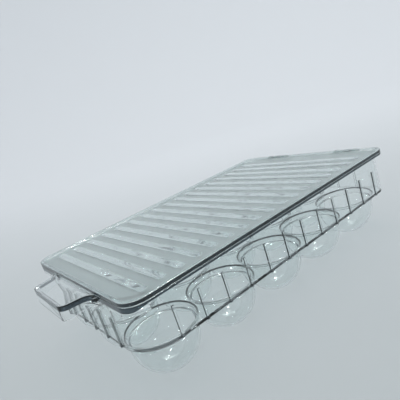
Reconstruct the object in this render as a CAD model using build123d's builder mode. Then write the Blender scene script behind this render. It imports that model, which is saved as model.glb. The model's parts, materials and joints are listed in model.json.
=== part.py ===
from build123d import *
import math
import os

# Egg keeper with a flip lid: a clear moulded tray of hanging egg cups, with a pull handle
# at the front, and a clear ridged lid that turns on two snap hinges at the back.
# Millimetres. +Z is up, the handle is at -Y, the hinges are at +Y, X runs across the keeper.
# The origin is on the surface that the cups stand on, in the middle of the keeper's box.

os.makedirs("parts", exist_ok=True)

# ---- driving sizes: egg cups
cup_rows = 5                # front to back
cup_columns = 3             # left to right
mouth_diameter = 48.8       # outside of a cup's neck, at the floor
cup_gap = 1.2               # neck to neck of neighbouring cups, both ways
neck_taper = 0.3            # how much the neck's radius narrows going down
neck_depth = 3.8            # floor underside to shoulder
shoulder_radius = 1.0       # rounding where the neck turns in to the bulb
bulb_inset = 1.7            # neck's outside at the floor to the bulb's widest, on each side
bulb_drop = 7.1             # floor underside to the middle of the bulb
foot_diameter = 10.0        # flat under each bulb
cup_wall = 1.2
floor_thickness = 1.6

# ---- driving sizes: tray wall and rim
wall_height = 30.9          # floor top to rim underside
wall_thickness = 1.4
end_gap = 0.3               # cup mouth to the wall's inside, front and back
side_gap = 1.0              # cup mouth to the wall's inside, left and right
wall_back_radius = 12.0     # rounding of the wall's corners at the hinge end, outside
side_overhang = 5.5         # how far the rim stands out past the side walls
rim_thickness = 1.6
rim_corner_radius = 12.5
lip_thickness = 1.2         # wall that turns down from the rim's edge at the front
front_lip_height = 4.2

# ---- driving sizes: stiffening ribs on the outside of the wall
rib_pitch = 19.0
rib_width = 1.6
rib_depth = 1.2
rib_height = 21.0           # up from the floor underside
side_rib_front = 25.0       # wall's front face to the middle of the first side rib
side_rib_back = 18.0        # the least from the last side rib's middle to the wall's back face

# ---- driving sizes: pull handle
handle_reach = 19.0         # out from the rim's front edge
handle_front_width = 58.0
handle_root_width = 66.0
handle_corner_radius = 5.0
handle_root_radius = 8.0
handle_root_blend = 0.3     # how far inside the rim's edge the root fillets end
handle_bead_width = 2.4     # thick edge of the handle's plate
handle_bead_height = 3.6
handle_lip_front = 10.1     # rim top to the lip's lower edge, at the front
handle_lip_root = 7.2       # the same, at the rim

# ---- driving sizes: lid
lid_gap = 0.2               # lid underside to rim top
lid_thickness = 2.4         # at the raised edge
lid_edge_width = 3.0
panel_thickness = 1.0
ridge_pitch = 13.4
ridge_width = 6.7
ridge_height = 0.5
ridge_corner_radius = 2.5   # rounding of each ridge's ends in plan
ridge_side_gap = 8.0        # ridge end to the raised edge
ridge_front_gap = 10.5      # raised edge to the first ridge
ridge_back_gap = 14.0       # the least from the last ridge to the raised edge

# ---- driving sizes: hinges
hinge_spacing = 84.0        # between the middles of the two hinges
pivot_setback = 3.6         # pivot behind the rim's rear edge
pivot_drop = 1.6            # pivot below the lid's underside
ear_gap = 0.4               # ear to the rim's rear edge
ear_thickness = 2.5
barrel_step = 0.4           # ear radius less barrel radius
barrel_clearance = 0.4      # barrel to the bracket under it
knuckle_width = 16.0
knuckle_side_gap = 0.3      # knuckle to each ear
knuckle_lift = 0.4          # knuckle root above the lid's underside
pintle_diameter = 2.8
pintle_clearance = 0.05     # radial
pintle_end_gap = 0.2        # pintle end to the ear's outer face
bracket_drop = 6.5          # bracket underside below the pivot
stop_reach = 5.0            # stop's rear face behind the pivot
stop_gap = 0.15             # knuckle to its stop, fully open
open_angle = 110.0

# ---- heights
bulb_radius = mouth_diameter / 2 - bulb_inset
bulb_z = math.sqrt(bulb_radius**2 - (foot_diameter / 2)**2)
floor_z = bulb_z + bulb_drop
shoulder_z = floor_z - neck_depth
floor_top = floor_z + floor_thickness
rim_z = floor_top + wall_height
rim_top = rim_z + rim_thickness
lid_z = rim_top + lid_gap
lid_top = lid_z + lid_thickness

# ---- plan sizes
cup_pitch = mouth_diameter + cup_gap
wall_in_width = (cup_columns - 1) * cup_pitch + mouth_diameter + 2 * side_gap
wall_in_length = (cup_rows - 1) * cup_pitch + mouth_diameter + 2 * end_gap
wall_out_width = wall_in_width + 2 * wall_thickness
wall_out_length = wall_in_length + 2 * wall_thickness
wall_front_radius = mouth_diameter / 2 + wall_thickness
rim_width = wall_out_width + 2 * side_overhang
rim_length = wall_out_length + 2 * lip_thickness
panel_width = rim_width - 2 * lid_edge_width
panel_length = rim_length - 2 * lid_edge_width
panel_corner_radius = rim_corner_radius - lid_edge_width

# ---- ribs: as many as fit between the ends given for the sides, and on the flat of the ends
side_rib_steps = math.floor((wall_out_length - side_rib_front - side_rib_back) / rib_pitch)
side_rib_shift = side_rib_front + side_rib_steps * rib_pitch / 2 - wall_out_length / 2
end_rib_steps = math.floor((wall_out_width - 2 * wall_front_radius) / rib_pitch)

# ---- places along Y, with the box of the whole keeper centred on the origin
hinge_reach = pivot_setback + stop_reach
middle_y = (handle_reach - hinge_reach) / 2
rim_front_y = middle_y - rim_length / 2
rim_back_y = middle_y + rim_length / 2
wall_back_y = middle_y + wall_out_length / 2

# ---- hinge places, worked out about the pivot
pivot_y = rim_back_y + pivot_setback
pivot_z = lid_z - pivot_drop
ear_radius = pivot_setback - ear_gap
barrel_radius = ear_radius - barrel_step
bracket_width = knuckle_width + 2 * (knuckle_side_gap + ear_thickness)


def rounded_plan(width, length, radius):
    """A rounded rectangle about the tray's middle."""
    with BuildSketch() as plan:
        with Locations((0, middle_y)):
            RectangleRounded(width, length, radius)
    return plan.sketch


def wall_plan(inset):
    """The wall's outline, or the same drawn in by an inset; the front corners follow the cups."""
    with BuildSketch() as plan:
        with Locations((0, middle_y)):
            Rectangle(wall_out_width - 2 * inset, wall_out_length - 2 * inset)
        fillet(plan.vertices().group_by(Axis.Y)[-1], wall_back_radius - inset)
        fillet(plan.vertices().group_by(Axis.Y)[0], wall_front_radius - inset)
    return plan.sketch


def cup_section(inset, top):
    """Half section of a cup, from its axis outwards: its outside, or its hollow when inset."""
    neck_top_radius = mouth_diameter / 2 - inset
    neck_radius = neck_top_radius - neck_taper
    ledge_z = shoulder_z + inset
    radius = bulb_radius - inset
    foot_radius = math.sqrt(radius**2 - (bulb_z - inset)**2)
    ledge_x = math.sqrt(radius**2 - (ledge_z - bulb_z)**2)
    foot_angle = math.atan2(inset - bulb_z, foot_radius)
    shoulder_angle = math.atan2(ledge_z - bulb_z, ledge_x)
    middle_angle = (foot_angle + shoulder_angle) / 2
    middle = (radius * math.cos(middle_angle), bulb_z + radius * math.sin(middle_angle))
    with BuildSketch(Plane.XZ) as section:
        with BuildLine():
            Line((0, inset), (foot_radius, inset))
            ThreePointArc((foot_radius, inset), middle, (ledge_x, ledge_z))
            Polyline(
                (ledge_x, ledge_z),
                (neck_radius, ledge_z),
                (neck_top_radius, top),
                (0, top),
                (0, inset),
            )
        make_face()
        corner = section.vertices().filter_by_position(
            Axis.X, neck_radius - 0.01, neck_radius + 0.01
        ).sort_by(Axis.Z)[0]
        fillet(corner, shoulder_radius)
    return section.sketch


def cell_span(index, count, full):
    """The low and high edge of one cup's share of the floor; the outer ones reach the wall."""
    low = -full / 2 if index == 0 else (index - count / 2) * cup_pitch
    high = full / 2 if index == count - 1 else (index + 1 - count / 2) * cup_pitch
    return low, high


def cup_cell(row, column):
    """One whole cup with its share of the tray's floor around its mouth."""
    centre_x = (column - (cup_columns - 1) / 2) * cup_pitch
    centre_y = middle_y + (row - (cup_rows - 1) / 2) * cup_pitch
    left, right = cell_span(column, cup_columns, wall_out_width)
    front, back = cell_span(row, cup_rows, wall_out_length)
    with BuildPart() as cell:
        with BuildSketch(Plane.XY.offset(floor_z)):
            with Locations(((left + right) / 2, middle_y + (front + back) / 2)):
                Rectangle(right - left, back - front)
            add(wall_plan(0), mode=Mode.INTERSECT)
        extrude(amount=floor_thickness)
        with Locations((centre_x, centre_y)):
            add(cup_outside)
            add(cup_hollow, mode=Mode.SUBTRACT)
    return cell.part


def cut_at_shoulder(cell, keep):
    """The part of a cup's cell above or below the outside of its shoulder."""
    with BuildPart() as piece:
        add(cell)
        split(bisect_by=Plane.XY.offset(shoulder_z), keep=keep)
    return piece.part


def rib_row(face, count, shift):
    """A row of upright ribs on one face of the wall; the plane's Z points out of the wall."""
    with BuildPart() as ribs:
        with BuildSketch(face.offset(-wall_front_radius)):
            with Locations((shift, 0)):
                with GridLocations(rib_pitch, rib_pitch, count, 1):
                    Rectangle(rib_width, rib_height, align=(Align.CENTER, Align.MIN))
        extrude(amount=wall_front_radius + rib_depth)
        with BuildSketch(Plane.XY.offset(floor_z)):
            add(wall_plan(0))
        extrude(amount=rib_height, mode=Mode.SUBTRACT)
    return ribs.part


def handle_plan(inset, height):
    """The handle's outline where it stands out from the rim, or the same drawn in by an inset."""
    root_y = rim_front_y + handle_root_blend
    strip_width = handle_root_width + 4 * handle_root_radius
    strip_length = 4 * handle_root_radius
    with BuildSketch(Plane.XY.offset(height)) as plan:
        with BuildLine():
            Polyline(
                (-handle_front_width / 2, rim_front_y - handle_reach),
                (handle_front_width / 2, rim_front_y - handle_reach),
                (handle_root_width / 2, root_y),
                (-handle_root_width / 2, root_y),
                close=True,
            )
        make_face()
        with Locations((0, root_y)):
            Rectangle(strip_width, strip_length, align=(Align.CENTER, Align.MIN))
        levels = plan.vertices().group_by(Axis.Y)
        fillet(levels[1].sort_by(Axis.X)[1:3], handle_root_radius)
        fillet(plan.vertices().group_by(Axis.Y)[0], handle_corner_radius)
        if inset > 0:
            offset(amount=-inset, kind=Kind.INTERSECTION, mode=Mode.REPLACE)
        with Locations((0, rim_front_y)):
            Rectangle(strip_width, 2 * handle_reach, align=(Align.CENTER, Align.MAX),
                      mode=Mode.INTERSECT)
    return plan.sketch


def hinge_middle(side):
    """The middle of one hinge across the keeper; side is -1 on the left and 1 on the right."""
    return side * hinge_spacing / 2


def bracket(side):
    """The tray's half of a hinge: a base with two bored ears and the lid's open stop."""
    start = Plane.YZ.offset(hinge_middle(side) - bracket_width / 2)
    base_top = pivot_z - barrel_radius - barrel_clearance
    edge_reach = math.hypot(pivot_setback, lid_top - pivot_z)
    edge_angle = math.atan2(lid_top - pivot_z, -pivot_setback)
    stop_angle = edge_angle - math.acos(barrel_radius / edge_reach) - math.radians(open_angle)
    stop_distance = barrel_radius + stop_gap
    stop_top = (stop_reach * math.cos(stop_angle) - stop_distance) / -math.sin(stop_angle)
    stop_foot = ((stop_distance - (base_top - pivot_z) * math.sin(stop_angle))
                 / math.cos(stop_angle))
    with BuildPart() as piece:
        with BuildSketch(start):
            with BuildLine():
                Polyline(
                    (wall_back_y, pivot_z - bracket_drop),
                    (pivot_y + stop_reach, pivot_z - bracket_drop),
                    (pivot_y + stop_reach, pivot_z + stop_top),
                    (pivot_y + stop_foot, base_top),
                    (rim_back_y, base_top),
                    (rim_back_y, rim_z),
                    (wall_back_y, rim_z),
                    close=True,
                )
            make_face()
        extrude(amount=bracket_width)
        with BuildSketch(start, start.offset(bracket_width - ear_thickness)):
            with Locations((pivot_y, pivot_z)):
                Circle(ear_radius)
                Rectangle(2 * ear_radius, bracket_drop, align=(Align.CENTER, Align.MAX))
        extrude(amount=ear_thickness)
        with BuildSketch(start):
            with Locations((pivot_y, pivot_z)):
                Circle(pintle_diameter / 2 + pintle_clearance)
        extrude(amount=bracket_width, mode=Mode.SUBTRACT)
    return piece.part


def knuckle(side):
    """The lid's half of a hinge: a barrel on the lid's rear edge, with a pintle at each end."""
    pintle_reach = knuckle_side_gap + ear_thickness - pintle_end_gap
    start = Plane.YZ.offset(hinge_middle(side) - knuckle_width / 2)
    with BuildPart() as piece:
        with BuildSketch(start):
            with BuildLine():
                Line((rim_back_y, lid_z + knuckle_lift), (rim_back_y, lid_top))
                CenterArc((pivot_y, pivot_z), barrel_radius, 0, 360)
            make_hull()
        extrude(amount=knuckle_width)
        with BuildSketch(start.offset(-pintle_reach)):
            with Locations((pivot_y, pivot_z)):
                Circle(pintle_diameter / 2)
        extrude(amount=knuckle_width + 2 * pintle_reach)
    return piece.part


# ---- egg cups: a round cup below the shoulder, and above it a collar with its share of the floor;
# a to c run from left to right and 1 to 5 from the handle to the hinges
with BuildPart(mode=Mode.PRIVATE) as outside:
    add(cup_section(0, floor_z))
    revolve(axis=Axis.Z)
cup_outside = outside.part

with BuildPart(mode=Mode.PRIVATE) as hollow:
    add(cup_section(cup_wall, floor_top))
    revolve(axis=Axis.Z)
cup_hollow = hollow.part

cup_layers = {"egg_cup": Keep.BOTTOM, "cup_collar": Keep.TOP}
for row in range(cup_rows):
    for column in range(cup_columns):
        place_name = f"{chr(ord('a') + column)}{row + 1}"
        cell_part = cup_cell(row, column)
        for layer, keep in cup_layers.items():
            layer_part = cut_at_shoulder(cell_part, keep)
            layer_part.label = f"{layer}_{place_name}"
            export_step(layer_part, f"parts/{layer_part.label}.step")

# ---- tray wall
with BuildPart() as tray_wall:
    with BuildSketch(Plane.XY.offset(floor_top)):
        add(wall_plan(0))
        add(wall_plan(wall_thickness), mode=Mode.SUBTRACT)
    extrude(amount=wall_height)
tray_wall.part.label = "tray_wall"
export_step(tray_wall.part, "parts/tray_wall.step")

# ---- stiffening ribs
right_face = Plane((wall_out_width / 2, middle_y, floor_z), x_dir=(0, 1, 0), z_dir=(1, 0, 0))
left_face = Plane((-wall_out_width / 2, middle_y, floor_z), x_dir=(0, -1, 0), z_dir=(-1, 0, 0))
front_face = Plane((0, middle_y - wall_out_length / 2, floor_z), x_dir=(1, 0, 0),
                   z_dir=(0, -1, 0))
back_face = Plane((0, wall_back_y, floor_z), x_dir=(-1, 0, 0), z_dir=(0, 1, 0))
rib_rows = {
    "ribs_right": (right_face, side_rib_steps + 1, side_rib_shift),
    "ribs_left": (left_face, side_rib_steps + 1, -side_rib_shift),
    "ribs_front": (front_face, end_rib_steps + 1, 0),
    "ribs_back": (back_face, end_rib_steps + 1, 0),
}
for name, (face, count, shift) in rib_rows.items():
    ribs_part = rib_row(face, count, shift)
    ribs_part.label = name
    export_step(ribs_part, f"parts/{name}.step")

# ---- rim round the tray's mouth
with BuildPart() as rim:
    with BuildSketch(Plane.XY.offset(rim_z)):
        add(rounded_plan(rim_width, rim_length, rim_corner_radius))
        add(wall_plan(wall_thickness), mode=Mode.SUBTRACT)
    extrude(amount=rim_thickness)
rim.part.label = "rim"
export_step(rim.part, "parts/rim.step")

# ---- lip that turns down from the rim's front edge and round its front corners
with BuildPart() as front_lip:
    with BuildSketch(Plane.XY.offset(rim_z - front_lip_height)):
        add(rounded_plan(rim_width, rim_length, rim_corner_radius))
        add(rounded_plan(rim_width - 2 * lip_thickness, rim_length - 2 * lip_thickness,
                         rim_corner_radius - lip_thickness), mode=Mode.SUBTRACT)
        with Locations((0, rim_front_y)):
            Rectangle(rim_width, rim_corner_radius, align=(Align.CENTER, Align.MIN),
                      mode=Mode.INTERSECT)
            Rectangle(handle_root_width, rim_corner_radius, align=(Align.CENTER, Align.MIN),
                      mode=Mode.SUBTRACT)
    extrude(amount=front_lip_height)
front_lip.part.label = "front_lip"
export_step(front_lip.part, "parts/front_lip.step")

# ---- pull handle: a plate level with the rim, a thick edge, and a lip for the fingers
with BuildPart() as pull_handle:
    add(handle_plan(0, rim_z))
    extrude(amount=rim_thickness)
    with BuildSketch(Plane.XY.offset(rim_top - handle_bead_height)):
        add(handle_plan(0, 0))
        add(handle_plan(handle_bead_width, 0), mode=Mode.SUBTRACT)
    extrude(amount=handle_bead_height - rim_thickness)
    with BuildSketch(Plane.XY.offset(rim_top - handle_lip_front)):
        add(handle_plan(0, 0))
        add(handle_plan(lip_thickness, 0), mode=Mode.SUBTRACT)
    extrude(amount=handle_lip_front - handle_bead_height)
    with BuildSketch(Plane.YZ):
        with BuildLine():
            Polyline(
                (rim_front_y, rim_top - handle_lip_front),
                (rim_front_y, rim_top - handle_lip_root),
                (rim_front_y - handle_reach, rim_top - handle_lip_front),
                close=True,
            )
        make_face()
    extrude(amount=handle_root_width, both=True, mode=Mode.SUBTRACT)
pull_handle.part.label = "pull_handle"
export_step(pull_handle.part, "parts/pull_handle.step")

# ---- lid: a raised edge all round, and a thinner panel inside it with ridges across
with BuildPart() as lid_border:
    with BuildSketch(Plane.XY.offset(lid_z)):
        add(rounded_plan(rim_width, rim_length, rim_corner_radius))
        add(rounded_plan(panel_width, panel_length, panel_corner_radius), mode=Mode.SUBTRACT)
    extrude(amount=lid_thickness)
lid_border.part.label = "lid_border"
export_step(lid_border.part, "parts/lid_border.step")

ridge_field = panel_length - ridge_front_gap - ridge_back_gap
ridge_steps = math.floor((ridge_field - ridge_width) / ridge_pitch)
ridge_middle_y = (middle_y - panel_length / 2 + ridge_front_gap + ridge_width / 2
                  + ridge_steps * ridge_pitch / 2)
with BuildPart() as lid_panel:
    with BuildSketch(Plane.XY.offset(lid_z)):
        add(rounded_plan(panel_width, panel_length, panel_corner_radius))
    extrude(amount=panel_thickness)
    with BuildSketch(Plane.XY.offset(lid_z + panel_thickness)):
        with Locations((0, ridge_middle_y)):
            with GridLocations(1, ridge_pitch, 1, ridge_steps + 1):
                RectangleRounded(panel_width - 2 * ridge_side_gap, ridge_width,
                                 ridge_corner_radius)
    extrude(amount=ridge_height)
lid_panel.part.label = "lid_panel"
export_step(lid_panel.part, "parts/lid_panel.step")

# ---- hinges
for side, side_name in ((-1, "left"), (1, "right")):
    bracket_part = bracket(side)
    bracket_part.label = f"hinge_bracket_{side_name}"
    export_step(bracket_part, f"parts/{bracket_part.label}.step")
    knuckle_part = knuckle(side)
    knuckle_part.label = f"lid_knuckle_{side_name}"
    export_step(knuckle_part, f"parts/{knuckle_part.label}.step")
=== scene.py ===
import json
import math
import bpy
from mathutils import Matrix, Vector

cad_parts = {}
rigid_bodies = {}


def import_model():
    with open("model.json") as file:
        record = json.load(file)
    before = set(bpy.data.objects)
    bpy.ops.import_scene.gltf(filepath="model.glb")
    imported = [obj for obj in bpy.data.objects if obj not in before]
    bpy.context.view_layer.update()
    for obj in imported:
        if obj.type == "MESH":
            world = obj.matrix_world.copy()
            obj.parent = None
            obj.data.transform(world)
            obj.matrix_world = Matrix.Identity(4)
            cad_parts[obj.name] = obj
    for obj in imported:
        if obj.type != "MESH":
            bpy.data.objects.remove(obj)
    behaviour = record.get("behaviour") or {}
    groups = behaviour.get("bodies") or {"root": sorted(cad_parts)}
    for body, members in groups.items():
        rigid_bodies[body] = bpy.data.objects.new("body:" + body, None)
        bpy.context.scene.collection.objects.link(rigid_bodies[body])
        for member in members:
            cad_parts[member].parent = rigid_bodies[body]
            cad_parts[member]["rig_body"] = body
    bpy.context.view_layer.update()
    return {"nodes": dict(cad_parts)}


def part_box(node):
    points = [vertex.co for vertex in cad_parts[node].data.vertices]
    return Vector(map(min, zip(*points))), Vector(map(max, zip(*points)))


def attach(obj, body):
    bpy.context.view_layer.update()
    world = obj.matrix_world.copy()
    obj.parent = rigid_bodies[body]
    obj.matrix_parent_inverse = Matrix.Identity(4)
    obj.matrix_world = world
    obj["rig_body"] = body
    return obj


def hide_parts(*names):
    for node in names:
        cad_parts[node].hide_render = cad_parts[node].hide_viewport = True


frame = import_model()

from types import SimpleNamespace

import bmesh
import bpy
from mathutils import Matrix, Vector

# The egg keeper's two clear mouldings, the tray and the lid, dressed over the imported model.
# Metres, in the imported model's frame: the handle is at -Y and the hinges are at +Y.

mm = 0.001

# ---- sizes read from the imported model
wall_low, wall_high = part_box("tray_wall")
rim_low, rim_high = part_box("rim")
lid_low, lid_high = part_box("lid_border")
panel_low, panel_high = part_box("lid_panel")
lip_low, lip_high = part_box("front_lip")
side_rib_low, side_rib_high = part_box("ribs_right")
front_rib_low, front_rib_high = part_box("ribs_front")
handle_front_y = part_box("pull_handle")[0].y
cup_names = sorted(name for name in frame["nodes"] if name.startswith("egg_cup"))
cup_boxes = [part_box(name) for name in cup_names]
cup_centres = [(low + high) / 2 for low, high in cup_boxes]

middle_y = (rim_low.y + rim_high.y) / 2
cup_pitch = cup_centres[1].y - cup_centres[0].y
floor_top = wall_low.z
rim_z, rim_top = rim_low.z, rim_high.z
lid_z, lid_top = lid_low.z, lid_high.z

# ---- sizes of the mouldings
wall_thickness = 1.4 * mm
floor_thickness = 1.6 * mm
cup_wall = 1.2 * mm
neck_radius = 24.4 * mm           # outside of a cup's neck, at the floor
neck_taper = 0.3 * mm
neck_depth = 3.8 * mm
bulb_radius = 22.7 * mm
foot_radius = 5 * mm
shoulder_radius = 1 * mm
mouth_edge = 0.6 * mm             # rounding of a cup's mouth
wall_front_corner = 25.8 * mm     # plan rounding of the wall's outside, round the cups
wall_back_corner = 12 * mm        # the same, at the hinge end
rim_corner = 12.5 * mm
lip_thickness = 1.2 * mm
soft_edge = 0.4 * mm              # rounding of the outer edges
soft_root = 0.4 * mm              # rounding where two walls meet
lid_inner_edge = 0.9 * mm         # rounding of the lid's raised edge towards the panel

rib_pitch = 19 * mm
rib_width = 1.6 * mm
rib_edge = 0.25 * mm
rib_let_in = 0.5 * mm

ridge_pitch = 13.4 * mm
ridge_width = 6.7 * mm
ridge_height = 0.5 * mm
ridge_count = 17
ridge_corner = 2.5 * mm
ridge_side_gap = 8 * mm           # ridge end to the lid's raised edge
ridge_front_gap = 10.5 * mm       # the lid's raised edge to the first ridge
ridge_flank = 0.9 * mm
ridge_fall = 1.6 * mm             # how much further the side away from the handle slopes
ridge_let_in = 0.3 * mm

handle_bead_width = 2.4 * mm
handle_bead_height = 3.6 * mm
handle_front_width = 58 * mm
handle_root_width = 66 * mm
handle_front_round = 5 * mm
handle_root_round = 8 * mm
handle_root_blend = 0.3 * mm      # how far behind the rim's front edge the root rounding ends
handle_reach_in = 12 * mm         # how far the handle's outline runs back, before it is trimmed
handle_lip_root = 7.2 * mm
handle_lip_front = 10.1 * mm
pocket_step = 0.02 * mm           # draft of each upright face in the handle's pocket

# ---- fineness of the meshes
corner_steps = 16                 # faces round a quarter turn in plan
edge_steps = 3                    # faces round a softened edge
cup_steps = 64                    # faces round a cup
bulb_steps = 22                   # faces up a bulb
handle_steps = 10                 # faces round a corner of the handle
ridge_steps = 6                   # faces round a corner of a ridge
rib_steps = 2                     # faces round an edge of a rib
sharp_angle = math.radians(32)    # edges that turn by more stay sharp

# ---- tolerances
hair = 0.01 * mm                  # heights and places this close are the same
cut_hair = 0.001 * mm             # the same, where a plane cuts a mesh
weld = 0.002 * mm                 # points this close are merged
plate_shy = 0.03 * mm             # the handle plate's faces lie this far inside the rim's
lip_shy = 0.05 * mm               # and the front lip's this far
cell_places = 4                   # decimals of a metre that tell one row of cups from the next

floor_z = floor_top - floor_thickness
bulb_z = math.sqrt(bulb_radius**2 - foot_radius**2)
mouth_radius = neck_radius - cup_wall
wall_size = wall_high - wall_low
rim_size = rim_high - rim_low
panel_size = panel_high - panel_low
# (width, length, front rounding, back rounding) of each plan about the keeper's middle
wall_outside = (wall_size.x, wall_size.y, wall_front_corner, wall_back_corner)
wall_inside = (wall_size.x - 2 * wall_thickness, wall_size.y - 2 * wall_thickness,
               wall_front_corner - wall_thickness, wall_back_corner - wall_thickness)
rim_outside = (rim_size.x, rim_size.y, rim_corner, rim_corner)
panel_corner = rim_corner - (rim_size.x - panel_size.x) / 2
panel_outside = (panel_size.x, panel_size.y, panel_corner, panel_corner)
panel_top = panel_high.z - ridge_height


# ---------------------------------------------------------------- mesh helpers
def everything(bm):
    """All the points, edges and faces of a mesh."""
    return bm.verts[:] + bm.edges[:] + bm.faces[:]


def only(kind, items):
    """The items of one kind, out of what an operator returns."""
    return [item for item in items if isinstance(item, kind)]


def without_repeats(items):
    """The items once each, in the order in which they come."""
    return list(dict.fromkeys(items))


def new_edges(bm, known):
    """The edges that a step has added."""
    return [edge for edge in bm.edges if edge not in known]


def round_corners(bm, corners, radius, steps):
    """Rounds the corners of an outline in plan."""
    bmesh.ops.bevel(bm, geom=corners, offset=radius, offset_type="OFFSET", segments=steps,
                    profile=0.5, affect="VERTICES", material=-1)


def plan_ring(bm, plan, outset, height):
    """A level loop of edges: a rounded rectangle about the keeper's middle."""
    width, length, front_radius, back_radius = plan
    half_x, half_y = width / 2 + outset, length / 2 + outset
    known = set(bm.edges)
    corners = [bm.verts.new((x * half_x, middle_y + y * half_y, height))
               for x, y in ((-1, -1), (1, -1), (1, 1), (-1, 1))]
    for start, end in zip(corners, corners[1:] + corners[:1]):
        bm.edges.new((start, end))
    round_corners(bm, corners[:2], front_radius + outset, corner_steps)
    round_corners(bm, corners[2:], back_radius + outset, corner_steps)
    return new_edges(bm, known)


def round_edge(plan, height, radius, start, end):
    """The (plan, outset, height) steps round one softened edge, by angles in degrees."""
    start, end = math.radians(start), math.radians(end)
    centre_out = -radius * (math.cos(start) + math.cos(end))
    centre_up = height - radius * (math.sin(start) + math.sin(end))
    steps = []
    for step in range(edge_steps + 1):
        angle = start + (end - start) * step / edge_steps
        steps.append((plan, centre_out + radius * math.cos(angle),
                      centre_up + radius * math.sin(angle)))
    return steps


def skin(bm, steps, closed=False):
    """Joins level loops into one wall, and returns its first and last loop."""
    # The loops are bridged while they are stacked one above another, then moved to their heights.
    rings = [plan_ring(bm, plan, outset, level * mm)
             for level, (plan, outset, height) in enumerate(steps)]
    pairs = list(zip(rings, rings[1:]))
    if closed:
        pairs.append((rings[0], rings[-1]))
    for near, far in pairs:
        bmesh.ops.bridge_loops(bm, edges=near + far)
    for ring, (plan, outset, height) in zip(rings, steps):
        for edge in ring:
            for vert in edge.verts:
                vert.co.z = height
    return rings[0], rings[-1]


def raise_outline(bm, points, base, height, roundings):
    """Raises a solid from an outline; each rounding says (corners, radius, steps)."""
    corners = [bm.verts.new((x, y, base)) for x, y in points]
    bm.faces.new(corners)
    for turned, radius, steps in roundings:
        round_corners(bm, [corners[index] for index in turned], radius, steps)
    raised = bmesh.ops.extrude_face_region(bm, geom=bm.faces[:])["geom"]
    bmesh.ops.translate(bm, verts=only(bmesh.types.BMVert, raised), vec=(0, 0, height))
    bm.normal_update()


def face_height(face):
    """The height of a face's middle."""
    return face.calc_center_median().z


def arc(centre_x, centre_z, radius, start, end, steps):
    """Points (across, up) along an arc, by angles in radians."""
    angles = [start + (end - start) * step / steps for step in range(steps + 1)]
    return [(centre_x + radius * math.cos(a), centre_z + radius * math.sin(a)) for a in angles]


def turn_section(bm, section, steps):
    """Turns a section of (radius, height) points about the upright axis."""
    chain = [bm.verts.new((radius, 0, height)) for radius, height in section]
    edges = [bm.edges.new(pair) for pair in zip(chain, chain[1:])]
    bmesh.ops.spin(bm, geom=chain + edges, cent=(0, 0, 0), axis=(0, 0, 1), dvec=(0, 0, 0),
                   angle=2 * math.pi, steps=steps, use_merge=True, use_duplicate=False)


def trim(bm, point, away):
    """Cuts off what lies beyond a plane, and caps the cut."""
    cut = bmesh.ops.bisect_plane(bm, geom=everything(bm), dist=cut_hair, plane_co=point,
                                 plane_no=away, clear_outer=True)
    bmesh.ops.edgeloop_fill(bm, edges=only(bmesh.types.BMEdge, cut["geom_cut"]))


def close_shape(bm):
    """Merges what coincides and turns every face outwards."""
    bmesh.ops.remove_doubles(bm, verts=bm.verts[:], dist=weld)
    bmesh.ops.recalc_face_normals(bm, faces=bm.faces[:])


def place_object(bm, name):
    """Makes an object of the mesh."""
    mesh = bpy.data.meshes.new(name)
    bm.to_mesh(mesh)
    bm.free()
    piece = bpy.data.objects.new(name, mesh)
    bpy.context.scene.collection.objects.link(piece)
    return piece


def smooth(piece):
    """Shades every face smooth."""
    for face in piece.data.polygons:
        face.use_smooth = True


def shade(piece):
    """Smooth faces, with the sharp edges kept sharp and the flats kept flat."""
    smooth(piece)
    piece.data.set_sharp_from_angle(angle=sharp_angle)
    weigh = piece.modifiers.new("flats", "WEIGHTED_NORMAL")
    weigh.keep_sharp = True


def unite(target, tools):
    """Joins closed shapes into the target, as one moulding."""
    for tool in tools:
        join = target.modifiers.new(tool.name, "BOOLEAN")
        join.operation = "UNION"
        join.solver = "MANIFOLD"
        join.object = tool
    graph = bpy.context.evaluated_depsgraph_get()
    joined = bpy.data.meshes.new_from_object(target.evaluated_get(graph))
    target.modifiers.clear()
    old_mesh, target.data = target.data, joined
    bpy.data.meshes.remove(old_mesh)
    for tool in tools:
        tool_mesh = tool.data
        bpy.data.objects.remove(tool)
        bpy.data.meshes.remove(tool_mesh)


# ---------------------------------------------------------------- the tray
def cup_outside_section():
    """The outside of a cup from its mouth down to its foot, as (radius, height) points."""
    shoulder_z = floor_z - neck_depth
    start = math.asin((shoulder_z - bulb_z) / bulb_radius)
    end = -math.acos(foot_radius / bulb_radius)
    section = [(neck_radius, floor_z)]
    section += arc(neck_radius - neck_taper - shoulder_radius, shoulder_z + shoulder_radius,
                   shoulder_radius, 0, -math.pi / 2, 2 * edge_steps)
    section += arc(0, bulb_z, bulb_radius, start, end, bulb_steps)
    section.append((foot_radius - soft_edge, 0))
    return section


def cup_inside_section():
    """The hollow of a cup from the floor's top, over the rounded mouth, to the bottom."""
    ledge_z = floor_z - neck_depth + cup_wall
    hollow_radius = bulb_radius - cup_wall
    start = math.asin((ledge_z - bulb_z) / hollow_radius)
    end = -math.asin((bulb_z - cup_wall) / hollow_radius)
    section = arc(mouth_radius + mouth_edge, floor_top - mouth_edge, mouth_edge,
                  math.pi / 2, math.pi, edge_steps)
    section += arc(mouth_radius - neck_taper - shoulder_radius, ledge_z + shoulder_radius,
                   shoulder_radius, 0, -math.pi / 2, 2 * edge_steps)
    section += arc(0, bulb_z, hollow_radius, start, end, bulb_steps)
    section.append((section[-1][0] - soft_edge, cup_wall))
    return section


def turned_cup(section):
    """A section turned about the upright axis and closed at the foot, as a mesh to copy."""
    bm = bmesh.new()
    turn_section(bm, section, cup_steps)
    foot = [edge for edge in bm.edges
            if edge.is_boundary and edge.verts[0].co.z < section[-1][1] + hair]
    bmesh.ops.edgeloop_fill(bm, edges=foot)
    mesh = bpy.data.meshes.new("turned_cup")
    bm.to_mesh(mesh)
    bm.free()
    return mesh


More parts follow.
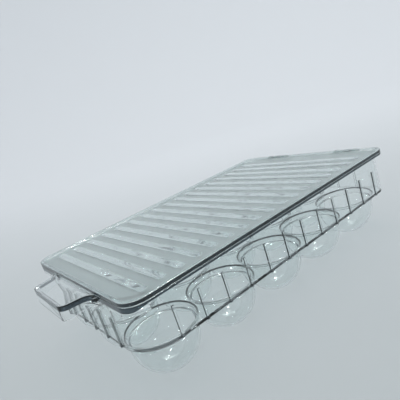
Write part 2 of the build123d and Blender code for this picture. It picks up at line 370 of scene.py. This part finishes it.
def wall_and_rim():
    """The wall and rim alone, closed by a slanting band where the floor will meet them."""
    bm = bmesh.new()
    skin(bm, [
        *round_edge(wall_inside, floor_top, soft_root, -90, 0),
        *round_edge(wall_inside, rim_top, soft_edge, 180, 90),
        *round_edge(rim_outside, rim_top, soft_edge, 90, 0),
        *round_edge(rim_outside, rim_z, soft_edge, 0, -90),
        *round_edge(wall_outside, rim_z, soft_root, 90, 180),
        *round_edge(wall_outside, floor_z, soft_edge, 0, -90),
    ], closed=True)
    close_shape(bm)
    return place_object(bm, "tray_moulding")


def open_floor_band(bm):
    """Takes the slanting band away, and returns the loops it leaves at floor_top and floor_z."""
    band = [face for face in bm.faces
            if abs(min(v.co.z for v in face.verts) - floor_z) < hair
            and abs(max(v.co.z for v in face.verts) - floor_top) < hair]
    bmesh.ops.delete(bm, geom=band, context="FACES")
    edges = [edge for edge in bm.edges if edge.is_boundary]
    upper = [edge for edge in edges if edge.verts[0].co.z > (floor_z + floor_top) / 2]
    return upper, [edge for edge in edges if edge not in upper]


def cut_strips(bm, faces, places, axis):
    """Cuts level faces along lines across an axis, and returns the strips."""
    normal = Vector((0, 0, 0))
    normal[axis] = 1
    for place in places:
        parts = faces + [edge for face in faces for edge in face.edges]
        parts += [vert for face in faces for vert in face.verts]
        cut = bmesh.ops.bisect_plane(bm, geom=without_repeats(parts), dist=cut_hair,
                                     plane_co=normal * place, plane_no=normal)
        faces = only(bmesh.types.BMFace, cut["geom"])
    return faces


def pierced_plate(bm, outline, section):
    """Fills an outline with a level plate, with a cup hanging from each cell of it."""
    plate = bmesh.ops.edgeloop_fill(bm, edges=outline)["faces"]
    for axis in (0, 1):
        places = sorted({round(centre[axis], cell_places) for centre in cup_centres})
        lines = [(near + far) / 2 for near, far in zip(places, places[1:])]
        plate = cut_strips(bm, plate, lines, axis)
    cup = turned_cup(section)
    for cell in plate:
        middle = cell.calc_center_bounds()
        centre = min(cup_centres, key=lambda place: (place.xy - middle.xy).length)
        known = set(bm.edges)
        move = Matrix.Translation((centre.x, centre.y, 0))
        cup.transform(move)
        bm.from_mesh(cup)
        cup.transform(move.inverted())
        mouth = [edge for edge in new_edges(bm, known) if edge.is_boundary]
        border = cell.edges[:]
        bmesh.ops.delete(bm, geom=[cell], context="FACES_ONLY")
        fill = bmesh.ops.triangle_fill(bm, edges=border + mouth, use_beauty=True,
                                       normal=(0, 0, 1))["geom"]
        within = section[0][0] * math.cos(math.pi / cup_steps)
        over_mouth = [face for face in only(bmesh.types.BMFace, fill)
                      if (face.calc_center_median().xy - centre.xy).length < within]
        bmesh.ops.delete(bm, geom=over_mouth, context="FACES")
    bpy.data.meshes.remove(cup)


def add_floor_and_cups(tray):
    """Closes the wall with the floor and its cups, inside and outside."""
    bm = bmesh.new()
    bm.from_mesh(tray.data)
    upper, lower = open_floor_band(bm)
    pierced_plate(bm, upper, cup_inside_section())
    pierced_plate(bm, lower, cup_outside_section())
    close_shape(bm)
    bm.to_mesh(tray.data)
    bm.free()


def rib_bar(bm, low, high, outwards):
    """One upright bar with its two outer edges softened."""
    made = bmesh.ops.create_cube(bm, size=1)["verts"]
    bmesh.ops.transform(bm, matrix=Matrix.LocRotScale((low + high) / 2, None, high - low),
                        verts=made)
    reach = max(v.co.dot(outwards) for v in made)
    outer = [v for v in made if v.co.dot(outwards) > reach - hair]
    edges = [edge for v in outer for edge in v.link_edges if edge.other_vert(v) in outer]
    upright = [edge for edge in without_repeats(edges)
               if abs(edge.verts[0].co.z - edge.verts[1].co.z) > rib_width]
    bmesh.ops.bevel(bm, geom=upright, offset=rib_edge, offset_type="OFFSET", segments=rib_steps,
                    profile=0.5, affect="EDGES", material=-1)


def rib_object():
    """All the stiffening ribs, each let into the wall."""
    bm = bmesh.new()
    rib_bottom = side_rib_low.z + soft_edge
    side_count = round((side_rib_high.y - side_rib_low.y - rib_width) / rib_pitch) + 1
    end_count = round((front_rib_high.x - front_rib_low.x - rib_width) / rib_pitch) + 1
    for side in (-1, 1):
        ends = side * (wall_high.x - rib_let_in), side * side_rib_high.x
        for step in range(side_count):
            start = side_rib_low.y + step * rib_pitch
            rib_bar(bm, Vector((min(ends), start, rib_bottom)),
                    Vector((max(ends), start + rib_width, side_rib_high.z)),
                    Vector((side, 0, 0)))
        wall_face = middle_y + side * wall_size.y / 2
        ends = wall_face - side * rib_let_in, wall_face + side * (wall_low.y - front_rib_low.y)
        for step in range(end_count):
            start = front_rib_low.x + step * rib_pitch
            rib_bar(bm, Vector((start, min(ends), rib_bottom)),
                    Vector((start + rib_width, max(ends), front_rib_high.z)),
                    Vector((0, side, 0)))
    close_shape(bm)
    return place_object(bm, "rib_tool")


def handle_object():
    """The pull handle: a plate with a thick edge and a lip, let into the rim and the wall."""
    root_y = rim_low.y + handle_root_blend
    deep_y = root_y + handle_reach_in
    root_x, front_x = handle_root_width / 2, handle_front_width / 2
    wing_x = root_x + handle_root_round
    bottom = rim_top - handle_lip_front
    bm = bmesh.new()
    raise_outline(bm, [(-wing_x, deep_y), (-wing_x, root_y), (-root_x, root_y),
                       (-front_x, handle_front_y), (front_x, handle_front_y),
                       (root_x, root_y), (wing_x, root_y), (wing_x, deep_y)],
                  bottom, rim_top - plate_shy - bottom,
                  [((2, 5), handle_root_round, handle_steps),
                   ((3, 4), handle_front_round, handle_steps)])
    # The pocket in the underside: past the lip, then past the thick edge.
    pocket = min(bm.faces, key=face_height)
    for inset, height in ((lip_thickness, rim_top - handle_bead_height),
                          (handle_bead_width - lip_thickness, rim_z + plate_shy)):
        for thickness in (inset, pocket_step):
            bmesh.ops.inset_region(bm, faces=[pocket], thickness=thickness,
                                   use_even_offset=True)
        for vert in pocket.verts:
            vert.co.z = height
    slope = (handle_lip_front - handle_lip_root) / (rim_low.y - handle_front_y)
    for vert in bm.verts:
        if vert.co.z < bottom + hair:
            vert.co.z += slope * (min(vert.co.y, rim_low.y) - handle_front_y)
    trim(bm, Vector((0, wall_low.y + wall_thickness / 2, 0)), Vector((0, 1, 0)))
    close_shape(bm)
    return place_object(bm, "handle_tool")


def front_lip_object():
    """The shallow lip under the rim's front edge, on each side of the handle."""
    bm = bmesh.new()
    top = rim_z + 2 * soft_edge
    skin(bm, [(rim_outside, -lip_shy, lip_low.z), (rim_outside, -lip_shy, top),
              (rim_outside, -lip_thickness, top), (rim_outside, -lip_thickness, lip_low.z)],
         closed=True)
    trim(bm, Vector((0, lip_high.y - lip_shy, 0)), Vector((0, 1, 0)))
    trim(bm, Vector((handle_root_width / 2, 0, 0)), Vector((-1, 0, 0)))
    bmesh.ops.mirror(bm, geom=everything(bm), matrix=Matrix.Identity(4), merge_dist=0, axis="X")
    close_shape(bm)
    return place_object(bm, "lip_tool")


def copy_of(name):
    """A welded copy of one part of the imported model, to join into a moulding."""
    bm = bmesh.new()
    bm.from_mesh(frame["nodes"][name].data)
    close_shape(bm)
    return place_object(bm, name + "_tool")


# ---------------------------------------------------------------- the lid
def lid_shell():
    """The lid's plate and its raised edge, as one closed skin."""
    bm = bmesh.new()
    under, field = skin(bm, [
        *round_edge(rim_outside, lid_z, soft_edge, -90, 0),
        *round_edge(rim_outside, lid_top, soft_edge, 0, 90),
        *round_edge(panel_outside, lid_top, lid_inner_edge, 90, 180),
        *round_edge(panel_outside, panel_top, soft_root, 0, -90),
    ])
    bmesh.ops.edgeloop_fill(bm, edges=under)
    bmesh.ops.edgeloop_fill(bm, edges=field)
    close_shape(bm)
    return place_object(bm, "lid_moulding")


def ridge_object():
    """The lid's cross ridges: rounded ends, and a steeper side towards the handle."""
    bm = bmesh.new()
    half_x = panel_size.x / 2 - ridge_side_gap
    raise_outline(bm, [(-half_x, 0), (half_x, 0), (half_x, ridge_width), (-half_x, ridge_width)],
                  panel_top - ridge_let_in, ridge_let_in,
                  [((0, 1, 2, 3), ridge_corner, ridge_steps)])
    top = max(bm.faces, key=face_height)
    bmesh.ops.inset_region(bm, faces=[top], thickness=ridge_flank, use_even_offset=True)
    narrowing = 1 - ridge_fall / (ridge_width - 2 * ridge_flank)
    for vert in top.verts:
        vert.co.z = panel_high.z
        vert.co.y = ridge_flank + (vert.co.y - ridge_flank) * narrowing
    ridge = bpy.data.meshes.new("ridge")
    bm.to_mesh(ridge)
    bm.clear()
    ridge.transform(Matrix.Translation((0, panel_low.y + ridge_front_gap, 0)))
    for step in range(ridge_count):
        bm.from_mesh(ridge)
        ridge.transform(Matrix.Translation((0, ridge_pitch, 0)))
    bpy.data.meshes.remove(ridge)
    close_shape(bm)
    return place_object(bm, "ridge_tool")


# ---------------------------------------------------------------- shader helpers
# The sockets of a Mix node that hold its share, first and second value, and its result.
mix_sockets = {"FLOAT": (0, 2, 3, 0), "RGBA": (0, 6, 7, 2)}
# The sockets of a colour's Map Range node that hold its value and the colours it goes between.
tint_sockets = (6, 9, 10)


def add_node(tree, kind, **values):
    """A shader node with its plain settings and its unlinked inputs set."""
    node = tree.nodes.new(kind)
    for name, value in values.items():
        if hasattr(node, name):
            setattr(node, name, value)
        else:
            node.inputs[name.replace("_", " ")].default_value = value
    return node


def feed(tree, socket, item):
    """Gives a socket a plain value, or links another node's socket to it."""
    if isinstance(item, bpy.types.NodeSocket):
        tree.links.new(item, socket)
    else:
        socket.default_value = item


def object_place(tree):
    """The object's own coordinates, whole and as x, y and z."""
    place = add_node(tree, "ShaderNodeTexCoord").outputs["Object"]
    parts = add_node(tree, "ShaderNodeSeparateXYZ")
    tree.links.new(place, parts.inputs[0])
    return place, parts.outputs


def noise(tree, place, scale, detail, roughness):
    """A noise pattern from 0 to 1."""
    node = add_node(tree, "ShaderNodeTexNoise", Scale=scale, Detail=detail, Roughness=roughness)
    tree.links.new(place, node.inputs["Vector"])
    return node.outputs["Fac"]


def spread(tree, value, low, high, to_low=0.0, to_high=1.0, way="LINEAR"):
    """A value spread from one range over another."""
    node = add_node(tree, "ShaderNodeMapRange", interpolation_type=way, From_Min=low,
                    From_Max=high, To_Min=to_low, To_Max=to_high)
    tree.links.new(value, node.inputs["Value"])
    return node.outputs["Result"]


def mixed(tree, kind, share, first, second):
    """The first value where the share is 0, and the second where it is 1."""
    node = add_node(tree, "ShaderNodeMix", data_type=kind)
    *inputs, output = mix_sockets[kind]
    for index, item in zip(inputs, (share, first, second)):
        feed(tree, node.inputs[index], item)
    return node.outputs[output]


def shader_mix(tree, share, first, second):
    """The first shader where the share is 0, and the second where it is 1."""
    node = add_node(tree, "ShaderNodeMixShader")
    for socket, item in zip(node.inputs, (share, first, second)):
        tree.links.new(item, socket)
    return node.outputs["Shader"]


def work(tree, kind, first, second=0.0):
    """The output of a maths node on sockets or plain numbers."""
    node = add_node(tree, "ShaderNodeMath", operation=kind)
    for socket, item in zip(node.inputs, (first, second)):
        feed(tree, socket, item)
    return node.outputs[0]


def above(tree, value, limit):
    """1 where a value is more than a limit."""
    return work(tree, "GREATER_THAN", value, limit)


def below(tree, value, limit):
    """1 where a value is less than a limit."""
    return work(tree, "LESS_THAN", value, limit)


def all_of(tree, *masks):
    """1 where every mask is 1."""
    product = masks[0]
    for mask in masks[1:]:
        product = work(tree, "MULTIPLY", product, mask)
    return product


def largest(tree, *masks):
    """The largest of several masks."""
    most = masks[0]
    for mask in masks[1:]:
        most = work(tree, "MAXIMUM", most, mask)
    return most


def between(tree, value, low, high):
    """1 where a value lies between two others."""
    return all_of(tree, above(tree, value, low), below(tree, value, high))


def sum_of_squares(tree, first, second):
    """The square of the distance that two offsets make."""
    return work(tree, "ADD", *[work(tree, "MULTIPLY", value, value) for value in (first, second)])


# ---------------------------------------------------------------- the clear plastic
clear_ior = 1.53
smudge_range = 0.35, 0.75         # the part of the smudges' noise that shows
polished, handled = 0.012, 0.07   # roughness where the plastic is clean, and where it is smudged
# Each moulding's tint where it is deepest, and where it is palest.
tray_tints = ((0.945, 0.973, 0.97), (0.98, 0.992, 0.99))
lid_tints = ((0.78, 0.85, 0.84), (0.88, 0.94, 0.93))
satin_roughness = 0.36
# The satin face's roughness is its real finish; its colour is darkened as painted shade, for the
# shaded cups seen through it.
satin_painted_shade_colour = (0.635, 0.72, 0.71, 1)
# Painted shade for the dark lines where the plastic is seen edge on.
painted_shade_edge_colour = (0.005, 0.009, 0.013, 1)
passing_colour = (0.98, 0.985, 0.985, 1)
depth_colour = (0.50, 0.64, 0.67, 1)
depth_density = 10.0

# Painted shade: how dark the plastic is painted where it is seen edge on, from 0 to 1, for the
# dark lines that refraction makes there.
rib_painted_shade = 0.95
end_rib_share = 0.8               # the front and back ribs' share of that
mouth_painted_shade = 0.95
floor_edge_painted_shade = 0.9
floor_edge_relief = 0.7           # how much less beside a cup
handle_foot_painted_shade = 0.85

# Where those places begin and end.
edge_band = 1 * mm                # depth of the outer edges, from the outline
back_slack = 0.1 * mm             # how far past the rim's back edge they may run
lip_fade_start = 2 * mm           # from the lip's front
lip_fade_end = 1 * mm             # from the lip's back end
handle_foot_gap = 2 * mm          # below the handle's thick edge
handle_foot_start = 0.2 * mm      # in front of the rim
rib_stand_out = 0.15 * mm         # a rib's face stands out by more than this
floor_edge_depth = 0.3 * mm       # depth of the floor's edge, from the wall's outside
mouth_band = -0.3 * mm, 0.5 * mm  # about the mouth's radius
mouth_line_depth = 0.9 * mm       # below the floor's top, seen from above
mouth_inner_depth = 1.6 * mm      # and this much deeper, seen through the floor
mouth_line_top = 0.02 * mm
satin_band = 0.05 * mm            # above and below the panel's level face
by_cup_reach = 0.27               # pitches from a cup's middle that count as beside the cup

# Which way a face points, as parts of its normal.
edge_level = 0.6                  # an outer edge points less up or down than this
floor_edge_level = 0.8            # and the floor's edge less than this
square_on = 0.7                   # a rib's side, or an underside, points its way more than this


def cup_offset(tree, place):
    """The distance along one axis from the middle of the nearest cup."""
    turns = work(tree, "ADD", work(tree, "DIVIDE", place, cup_pitch), 0.5)
    offset = work(tree, "ABSOLUTE", work(tree, "SUBTRACT", work(tree, "FRACT", turns), 0.5))
    return work(tree, "MULTIPLY", offset, cup_pitch)


def near_cup(tree, place):
    """1 beside a cup's middle along one axis, 0 between one cup and the next."""
    return below(tree, cup_offset(tree, place), by_cup_reach * cup_pitch)


def satin_mask(tree, x, y, z):
    """1 on the lid's level face round its clear ridges, 0 elsewhere."""
    across = work(tree, "ABSOLUTE", x)
    along = work(tree, "ABSOLUTE", work(tree, "SUBTRACT", y, middle_y))
    return all_of(tree, below(tree, across, panel_size.x / 2 - soft_root),
                  below(tree, along, panel_size.y / 2 - soft_root),
                  between(tree, z, panel_top - satin_band, panel_top + satin_band))


def read_point(tree, x, y, z):
    """Where a point of the plastic is, which way it faces, and if it is seen from inside."""
    # across and along are its distances from the keeper's middle, and from_middle is the
    # second one with its sign.
    facing = add_node(tree, "ShaderNodeNewGeometry")
    parts = add_node(tree, "ShaderNodeSeparateXYZ")
    tree.links.new(facing.outputs["Normal"], parts.inputs[0])
    turned = [work(tree, "ABSOLUTE", side) for side in parts.outputs]
    from_middle = work(tree, "SUBTRACT", y, middle_y)
    return SimpleNamespace(
        x=x, y=y, z=z, from_middle=from_middle,
        across=work(tree, "ABSOLUTE", x), along=work(tree, "ABSOLUTE", from_middle),
        turned_x=turned[0], turned_y=turned[1], turned_z=turned[2],
        from_inside=facing.outputs["Backfacing"])


def outline_mask(tree, at):
    """1 near the rim's rounded outline and beyond it, which takes in the handle."""
    beyond = [work(tree, "MAXIMUM", work(tree, "SUBTRACT", value, size / 2 - rim_corner), 0.0)
              for value, size in ((at.across, rim_size.x), (at.along, rim_size.y))]
    return all_of(tree,
                  above(tree, sum_of_squares(tree, *beyond), (rim_corner - edge_band) ** 2),
                  below(tree, at.from_middle, rim_size.y / 2 + back_slack))


def outer_edge_painted_shade_mask(tree, at, outline):
    """The upright edges of the lid, the rim and the handle, where they are painted dark as shade.
    """
    # The front lip's share of them fades round the corner to the lip's end.
    lowest = spread(tree, at.y, lip_low.y + lip_fade_start, lip_high.y - lip_fade_end,
                    rim_top - handle_bead_height, rim_z, "SMOOTHSTEP")
    return all_of(tree, outline, above(tree, at.z, lowest), below(tree, at.turned_z, edge_level))


def handle_foot_painted_shade_mask(tree, at, outline):
    """The underside of the handle's lip, painted dark as shade."""
    return all_of(tree, outline, below(tree, at.y, rim_low.y - handle_foot_start),
                  below(tree, at.z, rim_top - handle_bead_height - handle_foot_gap),
                  above(tree, at.turned_z, square_on), handle_foot_painted_shade)


def rib_painted_shade_mask(tree, at):
    """The sides of the ribs, where they stand out from the wall, painted dark as shade."""
    beside = above(tree, at.across, wall_size.x / 2 + rib_stand_out)
    before = above(tree, at.along, wall_size.y / 2 + rib_stand_out)
    sides = work(tree, "ADD", all_of(tree, beside, above(tree, at.turned_y, square_on)),
                 all_of(tree, before, end_rib_share, above(tree, at.turned_x, square_on)))
    return all_of(tree, sides, rib_painted_shade, below(tree, at.z, side_rib_high.z + soft_edge))


def floor_edge_painted_shade_mask(tree, at):
    """The floor's edge on the outside, painted dark as shade, darkest between one cup and the
    next.
    """
    at_side = above(tree, at.across, wall_size.x / 2 - floor_edge_depth)
    at_end = above(tree, at.along, wall_size.y / 2 - floor_edge_depth)
    by_cup = largest(tree, all_of(tree, at_side, near_cup(tree, at.from_middle)),
                     all_of(tree, at_end, near_cup(tree, at.x)))
    relief = work(tree, "MULTIPLY", by_cup, floor_edge_relief)
    return all_of(tree, between(tree, at.z, floor_z, floor_top),
                  below(tree, at.turned_z, floor_edge_level), largest(tree, at_side, at_end),
                  work(tree, "SUBTRACT", floor_edge_painted_shade, relief))


def mouth_painted_shade_mask(tree, at):
    """The cups' mouths painted dark as shade: a thin line from above, and a deeper one through
    the floor.
    """
    squares = sum_of_squares(tree, cup_offset(tree, at.x), cup_offset(tree, at.from_middle))
    inner, outer = [(mouth_radius + reach) ** 2 for reach in mouth_band]
    deeper = work(tree, "MULTIPLY", at.from_inside, mouth_inner_depth)
    lowest = work(tree, "SUBTRACT", floor_top - mouth_line_depth, deeper)
    return all_of(tree, between(tree, squares, inner, outer), above(tree, at.z, lowest),
                  below(tree, at.z, floor_top - mouth_line_top), mouth_painted_shade)


def painted_shade_edge_mask(tree, x, y, z):
    """How dark the painted shade is, from 0 to 1, in the places where the plastic is seen edge
    on.
    """
    at = read_point(tree, x, y, z)
    outline = outline_mask(tree, at)
    from_outside = work(tree, "SUBTRACT", 1.0, at.from_inside)
    edges = largest(tree, outer_edge_painted_shade_mask(tree, at, outline), floor_edge_painted_shade_mask(tree, at),
                    rib_painted_shade_mask(tree, at))
    return largest(tree, all_of(tree, edges, from_outside), mouth_painted_shade_mask(tree, at),
                   handle_foot_painted_shade_mask(tree, at, outline))


def clear_plastic(name, deepest, palest, with_satin):
    """Grey-green clear plastic, painted near black as shade where it is seen edge on; on the lid,
    the level face between the ridges is satin, with its colour darkened as painted shade.
    """
    material = bpy.data.materials.new(name)
    material.use_nodes = True
    tree = material.node_tree
    tree.nodes.clear()
    link = tree.links.new
    place, parts = object_place(tree)

    # Fine smudges and a slow variation, as on a handled moulding.
    smudges = noise(tree, place, scale=38.0, detail=6.0, roughness=0.62)
    roughness = spread(tree, smudges, *smudge_range, polished, handled)
    flow = noise(tree, place, scale=14.0, detail=2.0, roughness=0.4)
    bump = add_node(tree, "ShaderNodeBump", Strength=0.03, Distance=0.0002)
    link(flow, bump.inputs["Height"])
    tint = add_node(tree, "ShaderNodeMapRange", data_type="FLOAT_VECTOR")
    for index, item in zip(tint_sockets, (flow, deepest, palest)):
        feed(tree, tint.inputs[index], item)

    # Painted shade: the colour turns near black where the plastic is seen edge on, for the dark
    # lines that refraction makes.
    colour = mixed(tree, "RGBA", painted_shade_edge_mask(tree, *parts), tint.outputs[1], painted_shade_edge_colour)
    if with_satin:
        satin = satin_mask(tree, *parts)
        roughness = mixed(tree, "FLOAT", satin, roughness, satin_roughness)
        # Painted shade: the satin face's colour is darker, for the shaded cups seen through it.
        colour = mixed(tree, "RGBA", satin, colour, satin_painted_shade_colour)
    plastic = add_node(tree, "ShaderNodeBsdfPrincipled", IOR=clear_ior, Transmission_Weight=1.0)
    link(roughness, plastic.inputs["Roughness"])
    link(colour, plastic.inputs["Base Color"])
    link(bump.outputs["Normal"], plastic.inputs["Normal"])

    # Light passes straight through for shadows and for what lies under the keeper.
    path = add_node(tree, "ShaderNodeLightPath")
    passing = add_node(tree, "ShaderNodeBsdfTransparent", Color=passing_colour)
    surface = plastic.outputs["BSDF"]
    for ray in ("Is Shadow Ray", "Is Diffuse Ray"):
        surface = shader_mix(tree, path.outputs[ray], surface, passing.outputs["BSDF"])
    depth = add_node(tree, "ShaderNodeVolumeAbsorption", Density=depth_density,
                     Color=depth_colour)
    output = add_node(tree, "ShaderNodeOutputMaterial")
    link(surface, output.inputs["Surface"])
    link(depth.outputs["Volume"], output.inputs["Volume"])
    return material


def dress(piece, material):
    """Gives a moulding its plastic and its shading."""
    piece.data.materials.clear()
    piece.data.materials.append(material)
    shade(piece)


# ---------------------------------------------------------------- the mouldings
tray = wall_and_rim()
unite(tray, [rib_object(), handle_object(), front_lip_object(),
             copy_of("hinge_bracket_left"), copy_of("hinge_bracket_right")])
add_floor_and_cups(tray)
lid = lid_shell()
unite(lid, [ridge_object(), copy_of("lid_knuckle_left"), copy_of("lid_knuckle_right")])

dress(tray, clear_plastic("tray_plastic_clear", *tray_tints, with_satin=False))
dress(lid, clear_plastic("lid_plastic_clear", *lid_tints, with_satin=True))
for moulding, body, plastic in ((tray, "tray", "tray_plastic"), (lid, "lid", "lid_plastic")):
    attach(moulding, body)
tray_nodes = [name for name, node in frame["nodes"].items() if node["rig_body"] == "tray"]
lid_nodes = [name for name, node in frame["nodes"].items() if node["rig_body"] == "lid"]
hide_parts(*tray_nodes)
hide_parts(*lid_nodes)


# ---------------------------------------------------------------- floor, light and camera
backdrop_radius = 2.2
backdrop_height = 1.7
backdrop_curve = 1.2              # radius of the curve from the floor into the wall
backdrop_curve_steps = 18
backdrop_steps = 96
# Painted shade and painted light on the backdrop: darker in front of the keeper, paler far off
# and up the wall.
painted_shade_near_colour = (0.42, 0.455, 0.462, 1)
painted_light_far_colour = (0.66, 0.685, 0.71, 1)
fade_turn = math.radians(36.308)  # the way that the painted shade on the floor turns paler, from +Y towards -X
fade_middle = 0.4                 # how far in front of the keeper it is least pale
fade_length = 1.3                 # from there to where it is palest
mottle_share = 0.06


def pale_paint_with_painted_shade(name):
    """A matt surface with a faint mottling and painted shade: least pale along a line in front of
    the keeper, and paler away from it and up the wall.
    """
    material = bpy.data.materials.new(name)
    material.use_nodes = True
    tree = material.node_tree
    matt = tree.nodes["Principled BSDF"]
    matt.inputs["Roughness"].default_value = 0.9
    matt.inputs["Specular IOR Level"].default_value = 0.1
    place, (x, y, z) = object_place(tree)
    pattern = noise(tree, place, scale=9.0, detail=7.0, roughness=0.6)
    mottle = work(tree, "MULTIPLY", pattern, mottle_share)
    back = work(tree, "ADD", work(tree, "MULTIPLY", x, -math.sin(fade_turn)),
                work(tree, "MULTIPLY", y, math.cos(fade_turn)))
    away = work(tree, "ABSOLUTE", work(tree, "ADD", back, fade_middle))
    far = spread(tree, work(tree, "ADD", work(tree, "ADD", away, z), mottle),
                 0.0, fade_length, way="SMOOTHSTEP")
    tree.links.new(mixed(tree, "RGBA", far, painted_shade_near_colour, painted_light_far_colour), matt.inputs["Base Color"])
    return material


def backdrop():
    """A pale round floor that curves up into a low wall all round the keeper."""
    bm = bmesh.new()
    section = [(0.0, 0.0)]
    section += arc(backdrop_radius - backdrop_curve, backdrop_curve, backdrop_curve,
                   -math.pi / 2, 0, backdrop_curve_steps)
    section.append((backdrop_radius, backdrop_height))
    turn_section(bm, section, backdrop_steps)
    close_shape(bm)
    bmesh.ops.reverse_faces(bm, faces=bm.faces[:])
    piece = place_object(bm, "pale_backdrop")
    piece.data.materials.append(pale_paint_with_painted_shade("pale_wall_with_painted_shade"))
    smooth(piece)
    return piece


def soft_lamp(name, place, width, height, power, aim=(0, 0, 0)):
    """A rectangular lamp that faces a point and isn't seen directly."""
    light = bpy.data.lights.new(name, "AREA")
    light.shape = "RECTANGLE"
    light.size, light.size_y = width, height
    light.energy = power
    lamp = bpy.data.objects.new(name, light)
    bpy.context.scene.collection.objects.link(lamp)
    towards = Vector(aim) - Vector(place)
    lamp.matrix_world = (Matrix.Translation(Vector(place))
                         @ towards.to_track_quat("-Z", "Y").to_matrix().to_4x4())
    lamp.visible_camera = False
    return lamp


floor = backdrop()
key = soft_lamp("window_light", (-1.0, -1.0, 1.9), width=1.2, height=0.9, power=1.7)
ceiling = soft_lamp("ceiling_light", (-1.08, 0.72, 2.4), width=1.8, height=0.7, power=12)
wall = soft_lamp("wall_light", (0.2, 0.8, 2.6), width=1.6, height=1.6, power=13,
                 aim=(-1.2, 2.0, 0.3))
strip = soft_lamp("strip_light", (-0.6, 0.68, 2.2), width=0.16, height=0.55, power=7)
low = soft_lamp("low_light", (1.5, -1.2, 0.9), width=0.3, height=0.25, power=5)
spots = [soft_lamp("spot_light_" + name, place, width=0.16, height=0.16, power=3.6)
         for name, place in (("right", (1.7, 0.45, 0.8)), ("front", (0.25, -1.7, 0.75)),
                             ("top", (0.1, -0.2, 1.9)))]
# These two light the keeper, but don't show as white patches in its flat faces.
for lamp in (wall, low):
    lamp.visible_glossy = False
    lamp.visible_transmission = False

world = bpy.data.worlds.new("studio")
world.use_nodes = True
bpy.context.scene.world = world
sky = world.node_tree.nodes["Background"]
sky.inputs["Color"].default_value = (0.43, 0.45, 0.465, 1)
sky.inputs["Strength"].default_value = 1.0

camera_place = Vector((0.26608802, -0.18268916, 0.1537672))
camera_aim = Vector((-0.80690603, 0.53798328, -0.24387834))
camera_roll = math.radians(18.123)


def place_camera():
    """A camera at camera_place that looks along camera_aim, rolled about it."""
    data = bpy.data.cameras.new("view")
    data.sensor_width = 36
    data.lens = 36.79
    data.clip_start = 0.01
    data.clip_end = 50
    camera = bpy.data.objects.new("view", data)
    bpy.context.scene.collection.objects.link(camera)
    upright = (Vector((0, 0, 1)) - camera_aim * camera_aim.z).normalized()
    sideways = camera_aim.cross(upright)
    up = math.cos(camera_roll) * upright + math.sin(camera_roll) * sideways
    turned = Matrix((camera_aim.cross(up), up, -camera_aim)).transposed()
    camera.matrix_world = Matrix.Translation(camera_place) @ turned.to_4x4()
    return camera


bpy.context.scene.camera = place_camera()

scene = bpy.context.scene
scene.view_settings.view_transform = "Standard"
scene.cycles.max_bounces = 32
scene.cycles.transmission_bounces = 28
scene.cycles.transparent_max_bounces = 32
scene.cycles.glossy_bounces = 8
scene.cycles.diffuse_bounces = 4
scene.cycles.caustics_reflective = False
scene.cycles.caustics_refractive = False
scene.cycles.sample_clamp_indirect = 30.0
